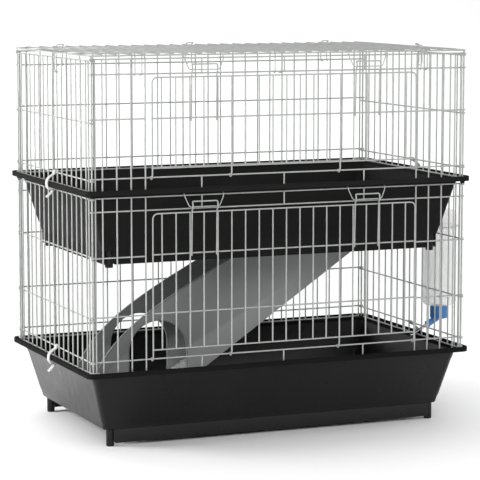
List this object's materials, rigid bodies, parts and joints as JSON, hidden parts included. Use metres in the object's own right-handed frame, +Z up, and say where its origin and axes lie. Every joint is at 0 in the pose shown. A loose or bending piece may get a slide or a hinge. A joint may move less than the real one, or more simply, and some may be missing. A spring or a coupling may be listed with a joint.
{
  "type": "wire rabbit cage",
  "caption": "Two-storey wire rabbit cage with moulded trays, drop-down doors, wire latches, a ramp between floors and a drinking bottle.",
  "frame": {"origin": "middle of the footprint box of the whole cage, at the level of the foot bottoms", "axes": "+X to the right along the cage, -Y towards the front with the doors, +Z up"},
  "size_m": [1.1074, 0.602, 0.9416],
  "materials": {
    "coated_wire": "light grey coated round wire, satin",
    "clip_wire": "zinc plated round wire",
    "black_plastic": "black moulded plastic, semi-gloss",
    "grey_plastic": "mid grey moulded plastic, fine grain",
    "white_plastic": "off-white moulded plastic",
    "clear_plastic": "translucent blown plastic",
    "blue_plastic": "blue moulded plastic",
    "steel": "polished stainless steel",
    "rubber": "soft black rubber"
  },
  "bodies": {
    "root": {"bottle_cap": "blue_plastic", "bottle_holder": "clip_wire", "bottle_seal": "rubber", "drinking_tube": "steel", "lower_back_panel": "coated_wire", "lower_corner_rod_back_left": "clip_wire", "lower_corner_rod_back_right": "clip_wire", "lower_corner_rod_front_left": "clip_wire", "lower_corner_rod_front_right": "clip_wire", "lower_foot_back_left": "black_plastic", "lower_foot_back_right": "black_plastic", "lower_foot_front_left": "black_plastic", "lower_foot_front_right": "black_plastic", "lower_front_header": "coated_wire", "lower_front_left_section": "coated_wire", "lower_front_right_section": "coated_wire", "lower_front_sill": "coated_wire", "lower_left_panel": "coated_wire", "lower_right_panel": "coated_wire", "lower_tray": "black_plastic", "ramp": "grey_plastic", "roof_panel": "coated_wire", "upper_back_panel": "coated_wire", "upper_corner_rod_back_left": "clip_wire", "upper_corner_rod_back_right": "clip_wire", "upper_corner_rod_front_left": "clip_wire", "upper_corner_rod_front_right": "clip_wire", "upper_foot_back_left": "black_plastic", "upper_foot_back_right": "black_plastic", "upper_foot_front_left": "black_plastic", "upper_foot_front_right": "black_plastic", "upper_front_header": "coated_wire", "upper_front_left_section": "coated_wire", "upper_front_right_section": "coated_wire", "upper_front_sill": "coated_wire", "upper_left_panel": "coated_wire", "upper_right_panel": "coated_wire", "upper_tray": "black_plastic", "water_bottle": "clear_plastic"},
    "lower_door": {"lower_door": "coated_wire"},
    "upper_door": {"upper_door": "coated_wire", "upper_door_catch_left": "coated_wire", "upper_door_catch_right": "coated_wire"},
    "lower_bail_left": {"lower_bail_left": "clip_wire"},
    "lower_bail_right": {"lower_bail_right": "clip_wire"},
    "upper_bail_left": {"upper_bail_left": "clip_wire"},
    "upper_bail_right": {"upper_bail_right": "clip_wire"},
    "lower_tray_clip_left": {"lower_tray_clip_left": "white_plastic"},
    "lower_tray_clip_right": {"lower_tray_clip_right": "white_plastic"},
    "upper_tray_clip_left": {"upper_tray_clip_left": "white_plastic"},
    "upper_tray_clip_right": {"upper_tray_clip_right": "white_plastic"},
    "roof_clip_front_left": {"roof_clip_front_left": "clip_wire"},
    "roof_clip_front_middle": {"roof_clip_front_middle": "clip_wire"},
    "roof_clip_front_right": {"roof_clip_front_right": "clip_wire"},
    "roof_clip_back_left": {"roof_clip_back_left": "clip_wire"},
    "roof_clip_back_middle": {"roof_clip_back_middle": "clip_wire"},
    "roof_clip_back_right": {"roof_clip_back_right": "clip_wire"},
    "roof_clip_side_left": {"roof_clip_side_left": "clip_wire"},
    "roof_clip_side_right": {"roof_clip_side_right": "clip_wire"},
    "drinking_ball": {"drinking_ball": "steel"}
  },
  "joints": [
    {"name": "lower_door_hinge", "type": "hinge", "parent": "root", "child": "lower_door", "pos_m": [-0.03614, -0.2823, 0.2136], "axis": [1, 0, 0], "range_deg": [0, 115]},
    {"name": "lower_bail_left_pivot", "type": "hinge", "parent": "lower_door", "child": "lower_bail_left", "pos_m": [-0.25214, -0.2941, 0.5735], "axis": [1, 0, 0], "range_deg": [0, 100]},
    {"name": "lower_bail_right_pivot", "type": "hinge", "parent": "lower_door", "child": "lower_bail_right", "pos_m": [0.17626, -0.2941, 0.5735], "axis": [1, 0, 0], "range_deg": [0, 100]},
    {"name": "upper_door_hinge", "type": "hinge", "parent": "root", "child": "upper_door", "pos_m": [-0.03614, -0.2823, 0.6456], "axis": [1, 0, 0], "range_deg": [0, 115]},
    {"name": "upper_bail_left_pivot", "type": "hinge", "parent": "upper_door", "child": "upper_bail_left", "pos_m": [-0.25214, -0.2941, 0.8973], "axis": [1, 0, 0], "range_deg": [0, 100]},
    {"name": "upper_bail_right_pivot", "type": "hinge", "parent": "upper_door", "child": "upper_bail_right", "pos_m": [0.17626, -0.2941, 0.8973], "axis": [1, 0, 0], "range_deg": [0, 100]},
    {"name": "lower_tray_clip_left_pivot", "type": "hinge", "parent": "root", "child": "lower_tray_clip_left", "pos_m": [-0.52854, -0.0106, 0.211], "axis": [0, 1, 0], "range_deg": [0, 75]},
    {"name": "lower_tray_clip_right_pivot", "type": "hinge", "parent": "root", "child": "lower_tray_clip_right", "pos_m": [0.44386, -0.0106, 0.211], "axis": [0, -1, 0], "range_deg": [0, 75]},
    {"name": "upper_tray_clip_left_pivot", "type": "hinge", "parent": "root", "child": "upper_tray_clip_left", "pos_m": [-0.52854, -0.0106, 0.641], "axis": [0, 1, 0], "range_deg": [0, 75]},
    {"name": "upper_tray_clip_right_pivot", "type": "hinge", "parent": "root", "child": "upper_tray_clip_right", "pos_m": [0.44386, -0.0106, 0.641], "axis": [0, -1, 0], "range_deg": [0, 75]},
    {"name": "roof_clip_front_left_pivot", "type": "hinge", "parent": "root", "child": "roof_clip_front_left", "pos_m": [-0.41614, -0.2856, 0.93225], "axis": [-1, 0, 0], "range_deg": [0, 45]},
    {"name": "roof_clip_front_middle_pivot", "type": "hinge", "parent": "root", "child": "roof_clip_front_middle", "pos_m": [-0.06014, -0.2856, 0.93225], "axis": [-1, 0, 0], "range_deg": [0, 45]},
    {"name": "roof_clip_front_right_pivot", "type": "hinge", "parent": "root", "child": "roof_clip_front_right", "pos_m": [0.33146, -0.2856, 0.93225], "axis": [-1, 0, 0], "range_deg": [0, 45]},
    {"name": "roof_clip_back_left_pivot", "type": "hinge", "parent": "root", "child": "roof_clip_back_left", "pos_m": [-0.41614, 0.2864, 0.93225], "axis": [1, 0, 0], "range_deg": [0, 45]},
    {"name": "roof_clip_back_middle_pivot", "type": "hinge", "parent": "root", "child": "roof_clip_back_middle", "pos_m": [-0.06014, 0.2864, 0.93225], "axis": [1, 0, 0], "range_deg": [0, 45]},
    {"name": "roof_clip_back_right_pivot", "type": "hinge", "parent": "root", "child": "roof_clip_back_right", "pos_m": [0.33146, 0.2864, 0.93225], "axis": [1, 0, 0], "range_deg": [0, 45]},
    {"name": "roof_clip_side_left_pivot", "type": "hinge", "parent": "root", "child": "roof_clip_side_left", "pos_m": [-0.53484, -0.035, 0.93225], "axis": [0, 1, 0], "range_deg": [0, 45]},
    {"name": "roof_clip_side_right_pivot", "type": "hinge", "parent": "root", "child": "roof_clip_side_right", "pos_m": [0.45016, -0.035, 0.93225], "axis": [0, -1, 0], "range_deg": [0, 45]},
    {"name": "drinking_ball_travel", "type": "slide", "parent": "root", "child": "drinking_ball", "axis": [0.8719, 0, 0.4897], "range_m": [0, 0.0015]}
  ]
}
